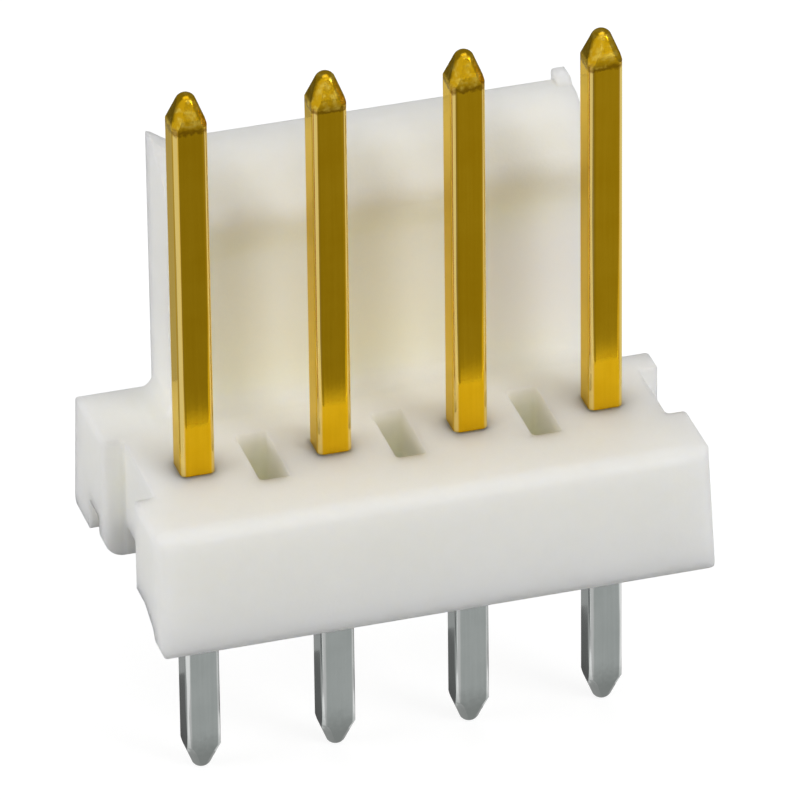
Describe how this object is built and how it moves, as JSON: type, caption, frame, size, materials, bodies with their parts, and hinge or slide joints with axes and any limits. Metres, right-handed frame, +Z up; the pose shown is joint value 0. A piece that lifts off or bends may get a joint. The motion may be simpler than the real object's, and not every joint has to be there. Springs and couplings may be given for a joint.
{
  "type": "pin header",
  "caption": "Straight through-hole pin header: square posts in one row in a moulded nylon base, with a friction-lock wall and catch behind them for a wire plug.",
  "frame": {"origin": "on the board face (under the stand-off rails), midway along the row of posts", "axes": "+X along the row, +Y from the posts to the lock wall, +Z up the mating posts"},
  "size_m": [0.0104, 0.0059, 0.0139],
  "materials": {
    "housing": "natural moulded nylon, slightly translucent, satin",
    "contact": "drawn square wire, gold plated above the base and tin plated on the solder tail"
  },
  "bodies": {
    "root": {"housing": "housing", "pin_1": "contact", "pin_2": "contact", "pin_3": "contact", "pin_4": "contact"}
  },
  "joints": []
}
